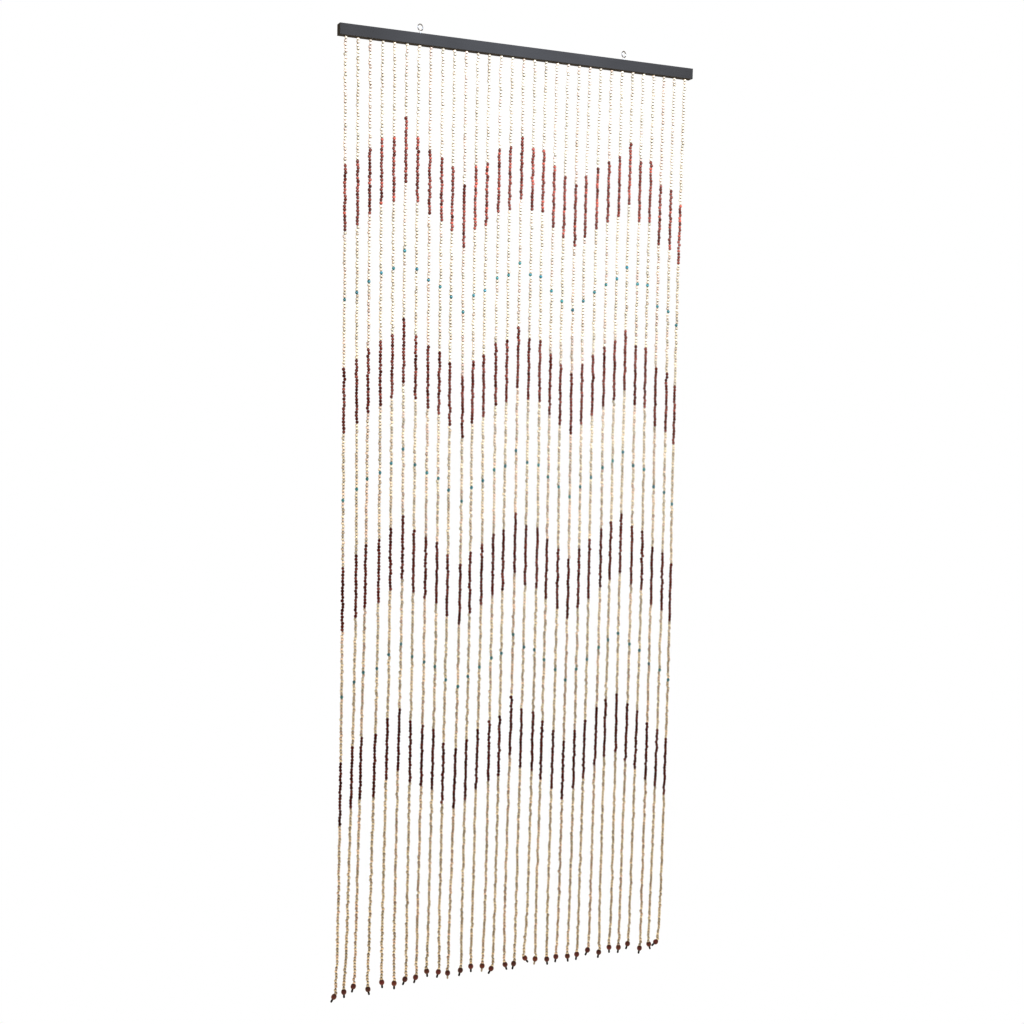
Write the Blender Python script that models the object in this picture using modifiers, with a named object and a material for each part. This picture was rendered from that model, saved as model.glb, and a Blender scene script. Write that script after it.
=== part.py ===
"""A doorway bead curtain: strings of small wooden beads hanging from a painted rail with two eye screws.

Units are metres, with +Z up, +X along the rail and +Y towards the back. The origin is midway between the
centres of the two eyes, where the curtain hangs.
"""

import math

import bmesh
import bpy
from mathutils import Matrix, Vector

# Rail
RAIL_LENGTH = 0.900
RAIL_DEPTH = 0.020
RAIL_HEIGHT = 0.025
RAIL_EDGE = 0.0006

# Eye screws. Each stands in front of the string whose number is given, and its ring is turned by EYE_TURN out
# of the rail's line.
EYE_OUTER_DIAMETER = 0.0165
EYE_WIRE_DIAMETER = 0.0023
EYE_NECK = 0.005
EYE_SHANK = 0.014
EYE_TIP = 0.004
EYE_TIP_SHARE = 0.3
EYE_STRINGS = {"left": 7, "right": 25}
EYE_TURN = {"left": math.radians(20), "right": math.radians(24)}
EYE_START = math.radians(15)
EYE_END = math.radians(336)

# Strings. They sway a little to the front and back, in waves that are SWAY_STEP radians apart from one string
# to the next.
STRING_COUNT = 31
STRING_PITCH = 0.0289
STRING_DROP = 2.166
STRING_DIAMETER = 0.0062
STRING_SHOULDER = 0.0012
EYES_TO_STRINGS = 0.005
SWAY = 0.0012
SWAY_WAVES = 2
SWAY_STEP = 1.7

# End beads and the stoppers below them
END_BEAD_WIDTH = 0.0115
END_BEAD_LENGTH = 0.0130
STOPPER_WIDTH = 0.0046
STOPPER_LENGTH = 0.0076

# Nylon line, its holes and the groove in which it runs from hole to hole. LINE_TUCK keeps its turn down
# into a hole just inside the line that lies in the groove.
LINE_DIAMETER = 0.0012
LINE_TUCK = 0.95
HOLE_DIAMETER = 0.0030
COUNTERSINK_DIAMETER = 0.0072
COUNTERSINK_DEPTH = 0.0020
GROOVE_WIDTH = 0.0024
GROOVE_DEPTH = 0.0018
LINE_OVERHANG = 0.0010

# Clearance between pieces, and the distance within which vertices are one
GAP = 0.0003
WELD = 0.000001

# Fineness of the round shapes
HOLE_SIDES = 10
STRING_SIDES = 6
WIRE_SIDES = 8
EYE_POINTS = 26
BEND_POINTS = 5

# One row for each string, from left to right. drop_mm is how much longer it hangs than STRING_DROP.
# quarter_mm, waist_mm, knee_mm and foot_mm are how far it stands to the right of its hole at the STATIONS
# below the first, and lean_deg is how far its end bead leans to the left.
COLUMNS = ("drop_mm", "quarter_mm", "waist_mm", "knee_mm", "foot_mm", "lean_deg")
STRING_ROWS = [
    dict(zip(COLUMNS, row))
    for row in (
        (17, 5, 11, 10, 3, 30),
        (9, 6, 13, 3, -2, -3),
        (-1, 5, 6, -4, -8, 15),
        (11, 4, 10, 0, -1, -13),
        (-1, 4, 9, 3, 4, -6),
        (6, 3, 9, 4, 6, -1),
        (0, 3, 8, 6, 4, 22),
        (-1, 4, 9, 4, 2, 17),
        (-12, 4, 8, 3, 1, -8),
        (-6, 2, 6, 2, 2, 16),
        (0, 3, 10, -1, -3, 0),
        (-2, 1, 6, 2, 1, 15),
        (-8, 0, 6, 0, -1, -3),
        (-5, 2, 6, 4, 0, 5),
        (5, 1, 4, 1, -5, 31),
        (0, 1, 5, -1, 3, -19),
        (1, 1, 4, 0, -3, 14),
        (-9, 0, 6, 1, -2, -36),
        (-3, -1, 3, -4, -3, 11),
        (2, -2, 4, -1, 0, -7),
        (-1, -1, 4, 0, -4, 7),
        (2, -3, 4, 1, -1, -7),
        (1, -2, 3, -2, -4, 9),
        (-6, 0, 5, 1, -3, 25),
        (4, 0, 2, -1, 0, 10),
        (-5, -1, 2, 3, 0, -2),
        (-1, -1, 5, -1, -2, 7),
        (-7, -1, 5, -1, -5, 19),
        (9, -1, 5, 3, 1, 10),
        (2, 0, 7, -1, -1, -17),
        (-1, -3, 2, 0, -10, 52),
    )
]

# Places along a string, from 0 at the rail to 1 at its end bead: where its drift is given, and where its
# solid bends
STATIONS = (0.0, 0.25, 0.60, 0.95, 1.0)
ROUTE_STEPS = (0.10, 0.22, 0.34, 0.46, 0.58, 0.70, 0.80, 0.88, 0.94, 0.975)

# Rings along an end bead and its stopper. The first number is how far down they lie, from the bead's centre
# or the stopper's top, as a share of its length, and the second how wide they are, as a share of its width.
BEAD_RINGS = ((-0.46, 0.42), (-0.25, 0.87), (0.0, 1.0), (0.25, 0.87), (0.46, 0.42))
STOPPER_RINGS = ((0.10, 0.85), (0.55, 1.0), (1.0, 0.70))

# Places that follow from the sizes
EYE_RADIUS = (EYE_OUTER_DIAMETER - EYE_WIRE_DIAMETER) / 2
RAIL_TOP = -(EYE_OUTER_DIAMETER / 2 + EYE_NECK)
RAIL_UNDERSIDE = RAIL_TOP - RAIL_HEIGHT
GROOVE_FLOOR = RAIL_TOP - GROOVE_DEPTH
LINE_Z = GROOVE_FLOOR + GAP + LINE_DIAMETER / 2


def clear_scene():
    for leftover in list(bpy.data.objects):
        bpy.data.objects.remove(leftover, do_unlink=True)


def new_collection(name):
    collection = bpy.data.collections.new(name)
    bpy.context.scene.collection.children.link(collection)
    return collection


def material(name, colour, roughness, metallic=0.0):
    made = bpy.data.materials.new(name)
    made.use_nodes = True
    shader = made.node_tree.nodes["Principled BSDF"]
    shader.inputs["Base Color"].default_value = (*colour, 1.0)
    shader.inputs["Roughness"].default_value = roughness
    shader.inputs["Metallic"].default_value = metallic
    return made


def link_only(obj, collection):
    for other in list(obj.users_collection):
        other.objects.unlink(obj)
    collection.objects.link(obj)


def as_cutter(obj, cutters):
    link_only(obj, cutters)
    obj.hide_render = True
    obj.display_type = "WIRE"


def hole_x(number):
    """The place along the rail of a string's hole, counted from 1 at the left."""
    return (number - (STRING_COUNT + 1) / 2) * STRING_PITCH


def tube(name, points, radii, sides, collection):
    """A round tube through the points, with its own radius at each."""
    curve = bpy.data.curves.new(name, "CURVE")
    curve.dimensions = "3D"
    curve.bevel_depth = 1.0
    curve.bevel_resolution = sides // 2 - 2
    curve.use_fill_caps = True
    spline = curve.splines.new("POLY")
    spline.points.add(len(points) - 1)
    for control, point, radius in zip(spline.points, points, radii):
        control.co = (*point, 1.0)
        control.radius = radius
    obj = bpy.data.objects.new(name, curve)
    collection.objects.link(obj)
    return obj


def tube_to_mesh(obj, collection):
    """The tube as a closed mesh object that a Boolean can read."""
    bpy.context.view_layer.update()
    evaluated = obj.evaluated_get(bpy.context.evaluated_depsgraph_get())
    mesh = bpy.data.meshes.new_from_object(evaluated)
    name = obj.name
    place = obj.matrix_world.copy()
    bpy.data.objects.remove(obj, do_unlink=True)
    bm = bmesh.new()
    bm.from_mesh(mesh)
    bmesh.ops.remove_doubles(bm, verts=bm.verts, dist=WELD)
    bmesh.ops.recalc_face_normals(bm, faces=bm.faces)
    bm.to_mesh(mesh)
    bm.free()
    solid = bpy.data.objects.new(name, mesh)
    solid.matrix_world = place
    collection.objects.link(solid)
    return solid


def between(values, t):
    """A smooth curve through the values at STATIONS, read at t."""
    last = len(STATIONS) - 1
    k = max(i for i in range(last) if t >= STATIONS[i])

    def slope(i):
        before, after = max(i - 1, 0), min(i + 1, last)
        return (values[after] - values[before]) / (STATIONS[after] - STATIONS[before])

    width = STATIONS[k + 1] - STATIONS[k]
    u = (t - STATIONS[k]) / width
    start = (1 + 2 * u) * (1 - u) ** 2 * values[k] + u * (1 - u) ** 2 * width * slope(k)
    end = u * u * (3 - 2 * u) * values[k + 1] - u * u * (1 - u) * width * slope(k + 1)
    return start + end


def end_bead(number):
    """The centre of a string's end bead, and the direction down its axis."""
    row = STRING_ROWS[number - 1]
    lean = math.radians(row["lean_deg"])
    x = hole_x(number) + row["foot_mm"] / 1000
    z = RAIL_UNDERSIDE - STRING_DROP - row["drop_mm"] / 1000
    return Vector((x, EYES_TO_STRINGS, z)), Vector((-math.sin(lean), 0, -math.cos(lean)))


def hang(number, t):
    """A point on a string's centre line, from the rail's underside, t = 0, to its end bead's top, t = 1."""
    centre, down = end_bead(number)
    top_of_bead = centre - down * END_BEAD_LENGTH / 2
    row = STRING_ROWS[number - 1]
    middle = [row[column] / 1000 for column in ("quarter_mm", "waist_mm", "knee_mm")]
    drift = (0.0, *middle, top_of_bead.x - hole_x(number))
    wave = math.sin(2 * math.pi * SWAY_WAVES * t + SWAY_STEP * number)
    sway = SWAY * math.sin(math.pi * t) * wave
    x = hole_x(number) + between(drift, t)
    z = RAIL_UNDERSIDE + (top_of_bead.z - RAIL_UNDERSIDE) * t
    return Vector((x, EYES_TO_STRINGS + sway, z))


def string_outline(number):
    """The points and radii of one string: line, beads, end bead and stopper."""
    top = hang(number, 0.0)
    line = LINE_TUCK * LINE_DIAMETER / 2
    thick = STRING_DIAMETER / 2
    shoulder = Vector((0, 0, STRING_SHOULDER))
    points = [Vector((top.x, top.y, LINE_Z)), top, top - shoulder]
    radii = [line, line, thick]
    for t in ROUTE_STEPS:
        points.append(hang(number, t))
        radii.append(thick)
    centre, down = end_bead(number)
    bead_top = centre - down * END_BEAD_LENGTH / 2
    points.append(bead_top - down * STRING_SHOULDER)
    radii.append(thick)
    for along, wide in BEAD_RINGS:
        points.append(centre + down * along * END_BEAD_LENGTH)
        radii.append(wide * END_BEAD_WIDTH / 2)
    for along, wide in STOPPER_RINGS:
        points.append(centre + down * (END_BEAD_LENGTH / 2 + along * STOPPER_LENGTH))
        radii.append(wide * STOPPER_WIDTH / 2)
    return points, radii


def make_strings(collection, finish):
    """All strings and the line that joins them in the groove, as one comb."""
    teeth = new_collection("string_teeth")
    for number in range(1, STRING_COUNT + 1):
        points, radii = string_outline(number)
        tooth = tube(f"tooth_{number:02d}", points, radii, STRING_SIDES, teeth)
        as_cutter(tube_to_mesh(tooth, teeth), teeth)
    ends = [hole_x(1) - LINE_OVERHANG, hole_x(STRING_COUNT) + LINE_OVERHANG]
    points = [(x, EYES_TO_STRINGS, LINE_Z) for x in ends]
    line = tube("bead_strings", points, [LINE_DIAMETER / 2] * 2, STRING_SIDES, collection)
    comb = tube_to_mesh(line, collection)
    join = comb.modifiers.new("join the strings", "BOOLEAN")
    join.operation = "UNION"
    join.operand_type = "COLLECTION"
    join.collection = teeth
    comb.data.materials.append(finish)
    return comb


def turned_cutter(name, profile, sides, cutters):
    """A turned cutter from a profile of (radius, z) pairs, listed from the top down."""
    mesh = bpy.data.meshes.new(name)
    edges = [(k, k + 1) for k in range(len(profile) - 1)]
    mesh.from_pydata([(radius, 0, z) for radius, z in profile], edges, [])
    obj = bpy.data.objects.new(name, mesh)
    as_cutter(obj, cutters)
    turn = obj.modifiers.new("turn", "SCREW")
    turn.axis = "Z"
    turn.steps = sides
    turn.render_steps = sides
    turn.use_merge_vertices = True
    turn.merge_threshold = WELD
    return obj


def cut_string_holes(cutters):
    above = RAIL_TOP + RAIL_EDGE
    below = RAIL_UNDERSIDE - RAIL_EDGE
    neck = RAIL_UNDERSIDE + COUNTERSINK_DEPTH
    narrow = HOLE_DIAMETER / 2
    slope = (COUNTERSINK_DIAMETER / 2 - narrow) / COUNTERSINK_DEPTH
    wide = narrow + slope * (neck - below)
    profile = [(0, above), (narrow, above), (narrow, neck), (wide, below), (0, below)]
    first = turned_cutter("string_hole_01", profile, HOLE_SIDES, cutters)
    first.location = (hole_x(1), EYES_TO_STRINGS, 0)
    for number in range(2, STRING_COUNT + 1):
        hole = first.copy()
        hole.name = f"string_hole_{number:02d}"
        hole.location = (hole_x(number), EYES_TO_STRINGS, 0)
        cutters.objects.link(hole)


def cut_groove(cutters):
    length = hole_x(STRING_COUNT) - hole_x(1) + 2 * (LINE_OVERHANG + GROOVE_WIDTH)
    height = GROOVE_DEPTH + RAIL_EDGE
    bpy.ops.mesh.primitive_cube_add(size=1)
    groove = bpy.context.object
    groove.name = "line_groove"
    groove.data.transform(Matrix.Diagonal((length, GROOVE_WIDTH, height, 1)))
    groove.location = (0, EYES_TO_STRINGS, GROOVE_FLOOR + height / 2)
    as_cutter(groove, cutters)


def cut_screw_holes(cutters):
    radius = (EYE_WIRE_DIAMETER / 2 + GAP) / math.cos(math.pi / HOLE_SIDES)
    above = RAIL_TOP + RAIL_EDGE
    bottom = RAIL_TOP - EYE_SHANK - GAP
    profile = [(0, above), (radius, above), (radius, bottom), (0, bottom)]
    for side, number in EYE_STRINGS.items():
        hole = turned_cutter(f"screw_hole_{side}", profile, HOLE_SIDES, cutters)
        hole.location = (hole_x(number), 0, 0)


def make_rail(collection, cutters, finish):
    """The painted bar, with the line's holes and groove and the screws' holes cut in it."""
    bpy.ops.mesh.primitive_cube_add(size=1)
    rail = bpy.context.object
    rail.name = "rail"
    rail.data.transform(Matrix.Diagonal((RAIL_LENGTH, RAIL_DEPTH, RAIL_HEIGHT, 1)))
    rail.location = (0, EYES_TO_STRINGS, RAIL_TOP - RAIL_HEIGHT / 2)
    link_only(rail, collection)
    edge = rail.modifiers.new("eased edges", "BEVEL")
    edge.width = RAIL_EDGE
    edge.segments = 2
    cut_string_holes(cutters)
    cut_groove(cutters)
    cut_screw_holes(cutters)
    drill = rail.modifiers.new("holes and groove", "BOOLEAN")
    drill.operation = "DIFFERENCE"
    drill.operand_type = "COLLECTION"
    drill.collection = cutters
    rail.data.materials.append(finish)
    return rail


def eye_wire():
    """The centre line of an eye screw and its radius at each point: shank, bend and ring."""
    bend = EYE_RADIUS * math.sin(EYE_START) / (1 - math.sin(EYE_START))
    sweep = math.pi / 2 - EYE_START
    bend_z = -EYE_RADIUS * math.cos(EYE_START) - bend * math.sin(sweep)
    tip = RAIL_TOP - EYE_SHANK
    points = [(0, 0, tip), (0, 0, tip + EYE_TIP)]
    for k in range(BEND_POINTS):
        turn = sweep * k / BEND_POINTS
        points.append((bend * (1 - math.cos(turn)), 0, bend_z + bend * math.sin(turn)))
    for k in range(EYE_POINTS):
        turn = EYE_START + (EYE_END - EYE_START) * k / (EYE_POINTS - 1)
        points.append((EYE_RADIUS * math.sin(turn), 0, -EYE_RADIUS * math.cos(turn)))
    radii = [EYE_WIRE_DIAMETER / 2] * len(points)
    radii[0] *= EYE_TIP_SHARE
    return points, radii


def make_eye_screws(collection, finish):
    points, radii = eye_wire()
    for side, number in EYE_STRINGS.items():
        eye = tube(f"eye_screw_{side}", points, radii, WIRE_SIDES, collection)
        eye.location = (hole_x(number), 0, 0)
        eye.rotation_euler = (0, 0, EYE_TURN[side])
        eye.data.materials.append(finish)


def main():
    clear_scene()
    curtain = new_collection("bead_curtain")
    cutters = new_collection("cutters")
    paint = material("charcoal_paint", (0.070, 0.075, 0.080), 0.55)
    beads = material("wooden_beads", (0.70, 0.56, 0.37), 0.45)
    zinc = material("zinc_plated_steel", (0.62, 0.63, 0.64), 0.30, metallic=1.0)
    make_strings(curtain, beads)
    make_rail(curtain, cutters, paint)
    make_eye_screws(curtain, zinc)


main()
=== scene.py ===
# %% [markdown]
# # A doorway curtain of wooden beads
# Thirty-one nylon lines hang from a painted rail, and each carries about three hundred small turned beads,
# one large end bead and a stopper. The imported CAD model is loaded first, because it fixes where everything
# is. It shows a whole string as one plain tooth of a comb, so this lesson threads the real beads in its
# place. Lengths are in metres, +X runs along the rail, +Y goes to the back and +Z up.

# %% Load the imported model
import math

import bpy
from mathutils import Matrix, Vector


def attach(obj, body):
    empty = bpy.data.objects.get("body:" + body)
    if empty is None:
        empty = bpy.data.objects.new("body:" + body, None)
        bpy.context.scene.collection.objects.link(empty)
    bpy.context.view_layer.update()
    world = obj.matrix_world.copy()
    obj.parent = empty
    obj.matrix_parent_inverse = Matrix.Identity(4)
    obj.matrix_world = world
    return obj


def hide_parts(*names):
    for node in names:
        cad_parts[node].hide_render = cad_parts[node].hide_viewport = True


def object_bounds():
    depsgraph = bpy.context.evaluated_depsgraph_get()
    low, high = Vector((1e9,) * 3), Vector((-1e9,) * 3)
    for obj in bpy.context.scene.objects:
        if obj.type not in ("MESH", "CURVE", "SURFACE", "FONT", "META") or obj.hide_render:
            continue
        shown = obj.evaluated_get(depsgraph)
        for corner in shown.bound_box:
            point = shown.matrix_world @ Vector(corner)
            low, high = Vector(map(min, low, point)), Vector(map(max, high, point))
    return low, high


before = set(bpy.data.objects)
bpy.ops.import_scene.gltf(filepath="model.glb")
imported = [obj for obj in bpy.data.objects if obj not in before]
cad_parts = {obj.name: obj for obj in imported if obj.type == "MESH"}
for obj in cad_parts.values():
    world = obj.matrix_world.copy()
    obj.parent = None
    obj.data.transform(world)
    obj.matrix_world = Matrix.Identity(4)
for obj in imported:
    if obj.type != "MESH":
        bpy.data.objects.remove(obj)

CAD_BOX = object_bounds()
print("CAD nodes:", sorted(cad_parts))
print("CAD box in mm:", [round((b - a) * 1000, 1) for a, b in zip(*CAD_BOX)])

# %% [markdown]
# ## Sizes
# The rail, the eyes and the lines have the sizes of the part's own source, repeated because this file can't
# read it. The beads are new here. The CAD shows the small ones as a plain tooth 6.2 mm thick, but a real
# bead swells to 7.3 mm or more in its middle. The end bead is drawn 12.5 mm wide, against 11.5 mm in the
# CAD, because light spills round the edge of a dark bead on white and makes it look narrower.

# %% Sizes of the rail, the lines and the beads
RAIL_HEIGHT = 0.025
EYE_OUTER_DIAMETER = 0.0165
EYE_WIRE_DIAMETER = 0.0023
EYE_NECK = 0.005
STRING_COUNT = 31
STRING_PITCH = 0.0289
STRING_DROP = 2.166
EYES_TO_STRINGS = 0.005
SWAY = 0.0012
SWAY_WAVES = 2
SWAY_STEP = 1.7
END_BEAD_WIDTH = 0.0125
END_BEAD_LENGTH = 0.0130
STOPPER_WIDTH = 0.0046
STOPPER_LENGTH = 0.0076
LINE_DIAMETER = 0.0012
GROOVE_LINE_Z = -0.01415

BEAD_WIDTHS = {"cream": 0.0073, "dark": 0.0076, "turquoise": 0.0074}
BEAD_LENGTH = 0.0072

RAIL_TOP = -(EYE_OUTER_DIAMETER / 2 + EYE_NECK)
RAIL_UNDERSIDE = RAIL_TOP - RAIL_HEIGHT
print("underside of the rail at", round(RAIL_UNDERSIDE * 1000, 2), "mm")

# %% [markdown]
# ## One row for each string
# No two strings hang alike. The first six columns say how: how much longer the string is than STRING_DROP,
# how far it stands to the right of its hole a quarter of the way down, at its waist, at its knee and at its
# foot, and how far its end bead leans to the left. Then comes the number of small beads on it, which
# differs by a few, and last the number of cream beads above its first dark band, which draws the zigzag
# across the curtain.

# %% The rows
COLUMNS = ("drop_mm", "quarter_mm", "waist_mm", "knee_mm", "foot_mm", "lean_deg", "beads", "creams_on_top")
STRING_ROWS = [
    dict(zip(COLUMNS, row))
    for row in (
        (17, 5, 11, 10, 3, 30, 295, 38),
        (9, 6, 13, 3, -2, -3, 299, 37),
        (-1, 5, 6, -4, -8, 15, 296, 33),
        (11, 4, 10, 0, -1, -13, 293, 29),
        (-1, 4, 9, 3, 4, -6, 298, 29),
        (6, 3, 9, 4, 6, -1, 293, 22),
        (0, 3, 8, 6, 4, 22, 295, 28),
        (-1, 4, 9, 4, 2, 17, 298, 32),
        (-12, 4, 8, 3, 1, -8, 297, 34),
        (-6, 2, 6, 2, 2, 16, 294, 36),
        (0, 3, 10, -1, -3, 0, 300, 42),
        (-2, 1, 6, 2, 1, 15, 294, 35),
        (-8, 0, 6, 0, -1, -3, 296, 34),
        (-5, 2, 6, 4, 0, 5, 293, 29),
        (5, 1, 4, 1, -5, 31, 295, 28),
        (0, 1, 5, -1, 3, -19, 299, 25),
        (1, 1, 4, 0, -3, 14, 297, 28),
        (-9, 0, 6, 1, -2, -36, 294, 28),
        (-3, -1, 3, -4, -3, 11, 297, 33),
        (2, -2, 4, -1, 0, -7, 297, 36),
        (-1, -1, 4, 0, -4, 7, 294, 38),
        (2, -3, 4, 1, -1, -7, 295, 35),
        (1, -2, 3, -2, -4, 9, 295, 32),
        (-6, 0, 5, 1, -3, 25, 297, 30),
        (4, 0, 2, -1, 0, 10, 299, 28),
        (-5, -1, 2, 3, 0, -2, 293, 23),
        (-1, -1, 5, -1, -2, 7, 297, 29),
        (-7, -1, 5, -1, -5, 19, 291, 28),
        (9, -1, 5, 3, 1, 10, 298, 36),
        (2, 0, 7, -1, -1, -17, 295, 37),
        (-1, -3, 2, 0, -10, 52, 297, 42),
    )
]
STATIONS = (0.0, 0.25, 0.60, 0.95, 1.0)
NUMBERS = range(1, STRING_COUNT + 1)
print(len(STRING_ROWS), "strings")

# %% [markdown]
# ## The camera
# It stands below the rail and to the left, about 3.6 m from the eyes, where the photographer stood. It
# comes first, because the free lines are tested against what it sees.

# %% Camera
CAMERA_PLACE = (-1.441, -3.190, -0.844)
CAMERA_TURN_DEG = (85.85, -1.26, -24.11)
LENS_MM = 51.85
SENSOR_MM = 36.0

camera_data = bpy.data.cameras.new("photographer")
camera_data.lens = LENS_MM
camera_data.sensor_width = SENSOR_MM
camera = bpy.data.objects.new("photographer", camera_data)
camera.location = CAMERA_PLACE
camera.rotation_euler = [math.radians(angle) for angle in CAMERA_TURN_DEG]
bpy.context.scene.collection.objects.link(camera)
bpy.context.scene.camera = camera
print("camera stands", round(camera.location.length, 2), "m from the eyes")

# %% [markdown]
# ## How a string hangs
# A loaded line hangs straight, but these were packed in a bundle, so each keeps a slight bow. The route
# goes through a few measured places on one smooth curve, and it is the same route that the CAD tooth
# follows.


# %% The route of a string
def hole_x(number):
    """The place along the rail of a string's hole, counted from 1 at the left."""
    return (number - (STRING_COUNT + 1) / 2) * STRING_PITCH


def between(values, t):
    """A smooth curve through the values at STATIONS, read at t."""
    last = len(STATIONS) - 1
    k = max(i for i in range(last) if t >= STATIONS[i])

    def slope(i):
        before, after = max(i - 1, 0), min(i + 1, last)
        return (values[after] - values[before]) / (STATIONS[after] - STATIONS[before])

    width = STATIONS[k + 1] - STATIONS[k]
    u = (t - STATIONS[k]) / width
    start = (1 + 2 * u) * (1 - u) ** 2 * values[k] + u * (1 - u) ** 2 * width * slope(k)
    end = u * u * (3 - 2 * u) * values[k + 1] - u * u * (1 - u) * width * slope(k + 1)
    return start + end


def end_bead(number):
    """The centre of a string's end bead, and the direction down its axis."""
    row = STRING_ROWS[number - 1]
    lean = math.radians(row["lean_deg"])
    x = hole_x(number) + row["foot_mm"] / 1000
    z = RAIL_UNDERSIDE - STRING_DROP - row["drop_mm"] / 1000
    return Vector((x, EYES_TO_STRINGS, z)), Vector((-math.sin(lean), 0, -math.cos(lean)))


def hang(number, t):
    """A point on a string's centre line, from the rail's underside, t = 0, to its end bead's top, t = 1."""
    centre, down = end_bead(number)
    top_of_bead = centre - down * END_BEAD_LENGTH / 2
    row = STRING_ROWS[number - 1]
    middle = [row[column] / 1000 for column in ("quarter_mm", "waist_mm", "knee_mm")]
    drift = (0.0, *middle, top_of_bead.x - hole_x(number))
    wave = math.sin(2 * math.pi * SWAY_WAVES * t + SWAY_STEP * number)
    sway = SWAY * math.sin(math.pi * t) * wave
    x = hole_x(number) + between(drift, t)
    z = RAIL_UNDERSIDE + (top_of_bead.z - RAIL_UNDERSIDE) * t
    return Vector((x, EYES_TO_STRINGS + sway, z))


HANG_STEPS = 32


def line_route(number):
    """The points of a line, from the groove down to the lower end of its stopper."""
    centre, down = end_bead(number)
    top = hang(number, 0.0)
    points = [Vector((top.x, top.y, GROOVE_LINE_Z)), Vector((top.x, top.y, (GROOVE_LINE_Z + top.z) / 2))]
    points += [hang(number, k / HANG_STEPS) for k in range(HANG_STEPS + 1)]
    points += [centre, centre + down * END_BEAD_LENGTH / 2]
    points.append(centre + down * (END_BEAD_LENGTH / 2 + STOPPER_LENGTH))
    return points


def length_of(points):
    return sum((b - a).length for a, b in zip(points, points[1:]))


ROUTES = {number: line_route(number) for number in NUMBERS}
lengths = [length_of(route) for route in ROUTES.values()]
print("lines are", round(min(lengths), 3), "to", round(max(lengths), 3), "m long")

# %% [markdown]
# ## The nylon lines
# Each line is a free cord: a clear nylon monofilament that comes out of its hole in the rail and ends in
# the stopper. The lines are made before the beads that hang on them.


# %% The lines
def wire(name, points, diameter, sides=8):
    """A round wire through the points, as a curve object at the origin."""
    curve = bpy.data.curves.new(name, "CURVE")
    curve.dimensions = "3D"
    curve.bevel_depth = diameter / 2
    curve.bevel_resolution = sides // 2 - 2
    curve.use_fill_caps = True
    spline = curve.splines.new("POLY")
    spline.points.add(len(points) - 1)
    for control, point in zip(spline.points, points):
        control.co = (*point, 1.0)
    obj = bpy.data.objects.new(name, curve)
    bpy.context.scene.collection.objects.link(obj)
    return obj


LINES = {number: wire(f"string_{number:02d}_line", ROUTES[number], LINE_DIAMETER) for number in NUMBERS}
GROOVE_ENDS = [(hole_x(number), EYES_TO_STRINGS, GROOVE_LINE_Z) for number in (1, STRING_COUNT)]
groove_line = wire("line_in_groove", GROOVE_ENDS, LINE_DIAMETER)
print("made", len(LINES), "hanging lines and the line in the groove")

# %% [markdown]
# ## A helper for node trees, and colours
# Every finish and every repeated shape below is a tree of nodes. One small function adds a node, sets it
# and links it, so that a tree reads from top to bottom. Colours are written as on a paint card, in sRGB
# hex, and one function turns them into the linear light that Blender reckons in.


# %% Node and colour helpers
def add(tree, kind, links=None, stops=(), **settings):
    """Adds a node. links gives a socket a value, another node's output, or a node, for its first output."""
    made = tree.nodes.new(kind)
    for name, value in settings.items():
        setattr(made, name, value)
    for socket, value in (links or {}).items():
        if isinstance(value, bpy.types.Node):
            value = value.outputs[0]
        if isinstance(value, bpy.types.NodeSocket):
            tree.links.new(value, made.inputs[socket])
        else:
            made.inputs[socket].default_value = value
    for k, (place, colour) in enumerate(stops):
        elements = made.color_ramp.elements
        stop = elements[k] if k < 2 else elements.new(place)
        stop.position, stop.color = place, colour
    return made


def srgb(code):
    """A colour written as sRGB hex, such as "#d9c4a0", as linear red, green, blue and alpha."""
    parts = [int(code[k : k + 2], 16) / 255 for k in (1, 3, 5)]
    return (*(c / 12.92 if c <= 0.04045 else ((c + 0.055) / 1.055) ** 2.4 for c in parts), 1.0)


def grey(share):
    return (share, share, share, 1.0)


print("mid cream in linear light:", [round(c, 3) for c in srgb("#d9c4a0")[:3]])

# %% [markdown]
# ## Light
# In the photograph the top beads almost burn out and the end beads stay dim. A soft, slightly cool lamp
# does this: it stands 1.5 m in front of the curtain's middle and higher than the rail, and its beam is
# narrow, so little of it reaches the foot. A warm fill from the surroundings and the floor paper lights all
# heights alike. The camera sees both of them as plain white. Its gamma below 1 darkens the middle tones for
# more contrast.

# %% Lamp, surroundings and floor
LAMP_PLACE = (0.05, -1.50, 0.38)
LAMP_AIM = (0.0, 0.0, -0.10)
LAMP_SIZE = 1.0
LAMP_POWER = 20.0
LAMP_SPREAD = math.radians(78)
LAMP_COLOUR = "#e4edff"
FILL_COLOUR = "#ffead0"
SURROUNDINGS = 1.00
FLOOR_GLOW = 1.25
CAMERA_GAMMA = 0.8
FLOOR_BELOW_STOPPERS = 0.10
FLOOR_SIZE = 60.0

lamp_data = bpy.data.lights.new("soft_lamp", "AREA")
lamp_data.shape = "DISK"
lamp_data.size = LAMP_SIZE
lamp_data.energy = LAMP_POWER
lamp_data.spread = LAMP_SPREAD
lamp_data.color = srgb(LAMP_COLOUR)[:3]
lamp = bpy.data.objects.new("soft_lamp", lamp_data)
lamp.location = LAMP_PLACE
lamp.rotation_euler = (Vector(LAMP_AIM) - Vector(LAMP_PLACE)).to_track_quat("-Z", "Y").to_euler()
bpy.context.scene.collection.objects.link(lamp)

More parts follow.
